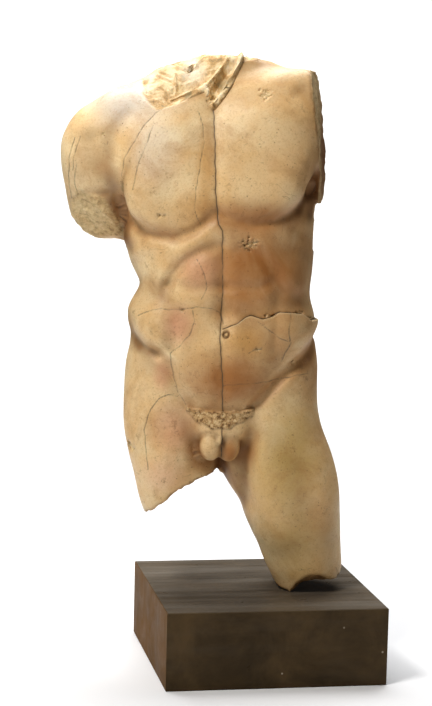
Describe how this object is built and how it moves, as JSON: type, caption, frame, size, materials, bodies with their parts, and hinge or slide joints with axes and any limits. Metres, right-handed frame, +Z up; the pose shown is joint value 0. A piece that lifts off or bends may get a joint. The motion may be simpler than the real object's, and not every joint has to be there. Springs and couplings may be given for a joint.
{
  "type": "marble torso sculpture",
  "caption": "Broken marble torso of a standing nude youth, headless, with stumps of arms and thighs, balanced on one thigh on a square dark stone plinth.",
  "frame": {"origin": "centre of the plinth's underside", "axes": "+Z up, -Y towards the front face of the plinth, +X to the viewer's right"},
  "size_m": [0.57, 0.4, 1.1145],
  "materials": {
    "marble": "satin",
    "dark_stone": "satin"
  },
  "bodies": {
    "root": {"torso": "marble", "plinth": "dark_stone"}
  },
  "joints": []
}
